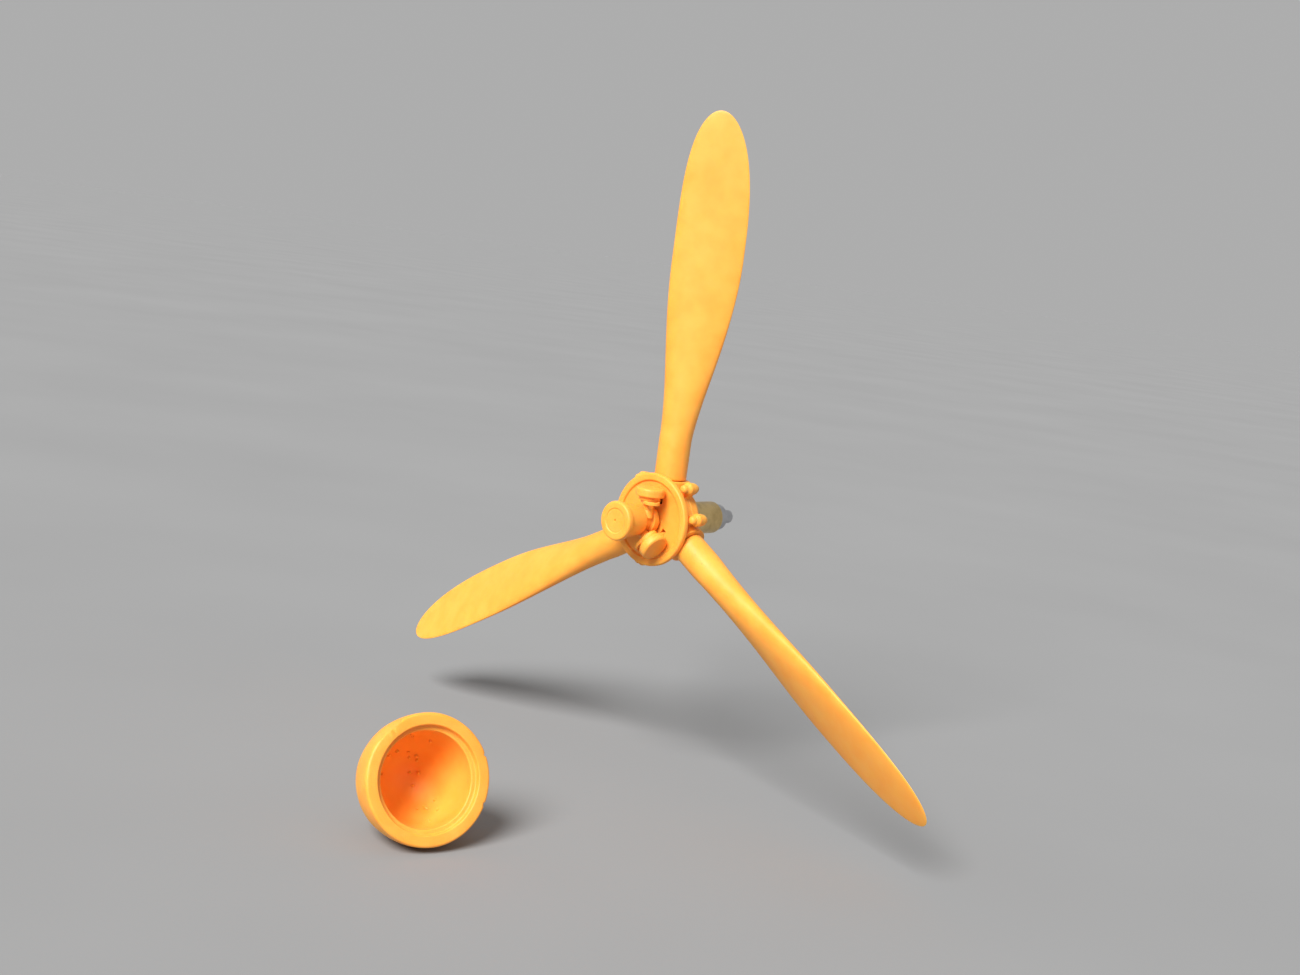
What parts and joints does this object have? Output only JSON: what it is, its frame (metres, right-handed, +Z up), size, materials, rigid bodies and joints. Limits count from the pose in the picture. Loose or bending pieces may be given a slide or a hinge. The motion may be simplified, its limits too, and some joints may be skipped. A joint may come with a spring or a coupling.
{
  "type": "model aircraft propeller",
  "caption": "Variable-pitch propeller with counterweighted blades in a split hub, a sliding pitch cylinder on its shaft, and a blunt pull-off spinner.",
  "frame": {"origin": "on the shaft axis, at the rear face of the bearing flange, which seats on the aircraft's nose", "axes": "+Y backwards along the shaft, +Z up along the first blade, +X to the right seen from the front"},
  "size_m": [0.0818, 0.0553, 0.0785],
  "materials": {
    "resin": "matte cast resin",
    "steel": "turned",
    "brass": "turned",
    "rubber": "matte"
  },
  "bodies": {
    "bearing": {"shaft_bush": "brass", "thrust_washer": "brass"},
    "hub": {"propeller_shaft": "steel", "rear_collar": "steel", "collar_pin": "steel", "spider": "steel", "barrel_front": "resin", "barrel_rear": "resin", "barrel_bolts": "resin", "barrel_nuts": "resin", "dish": "resin", "hub_nut": "resin", "piston": "steel", "piston_seal": "rubber", "piston_nut": "steel"},
    "blade_1": {"blade_1": "resin", "blade_sleeve_1": "brass", "bracket_1": "resin", "bracket_pins_1": "steel", "counterweight_1": "resin"},
    "blade_2": {"blade_2": "resin", "blade_sleeve_2": "brass", "bracket_2": "resin", "bracket_pins_2": "steel", "counterweight_2": "resin"},
    "blade_3": {"blade_3": "resin", "blade_sleeve_3": "brass", "bracket_3": "resin", "bracket_pins_3": "steel", "counterweight_3": "resin"},
    "pitch_cylinder": {"cylinder": "resin", "cylinder_cap": "resin", "crosshead": "resin", "cam_pin_1": "resin", "cam_pin_2": "resin", "cam_pin_3": "resin", "cam_roller_1": "resin", "cam_roller_2": "resin", "cam_roller_3": "resin"},
    "spinner": {"spinner": "resin"}
  },
  "joints": [
    {"name": "propeller_spin", "type": "hinge", "parent": "bearing", "child": "hub", "pos_m": [0, 0, 0], "axis": [0, -1, 0], "continuous": true},
    {"name": "cylinder_slide", "type": "slide", "parent": "hub", "child": "pitch_cylinder", "axis": [0, -1, 0], "range_m": [-0.00033, 0.00066]},
    {"name": "blade_1_pitch", "type": "hinge", "parent": "hub", "child": "blade_1", "pos_m": [0, -0.00345, 0], "axis": [0, 0, 1], "range_deg": [-10, 5]},
    {"name": "blade_2_pitch", "type": "hinge", "parent": "hub", "child": "blade_2", "pos_m": [0, -0.00345, 0], "axis": [0.866, 0, -0.5], "range_deg": [-10, 5]},
    {"name": "blade_3_pitch", "type": "hinge", "parent": "hub", "child": "blade_3", "pos_m": [0, -0.00345, 0], "axis": [-0.866, 0, -0.5], "range_deg": [-10, 5]},
    {"name": "spinner_turn_up", "type": "hinge", "parent": "bearing", "child": "spinner", "pos_m": [0.00362, -0.02138, -0.01895], "axis": [-0.8107, -0.4946, 0.3132], "range_deg": [0, 134.56]}
  ],
  "couplings": [
    {"joint": "blade_1_pitch", "follows": "cylinder_slide", "rad_per_m": -261.8},
    {"joint": "blade_2_pitch", "follows": "cylinder_slide", "rad_per_m": -261.8},
    {"joint": "blade_3_pitch", "follows": "cylinder_slide", "rad_per_m": -261.8}
  ]
}
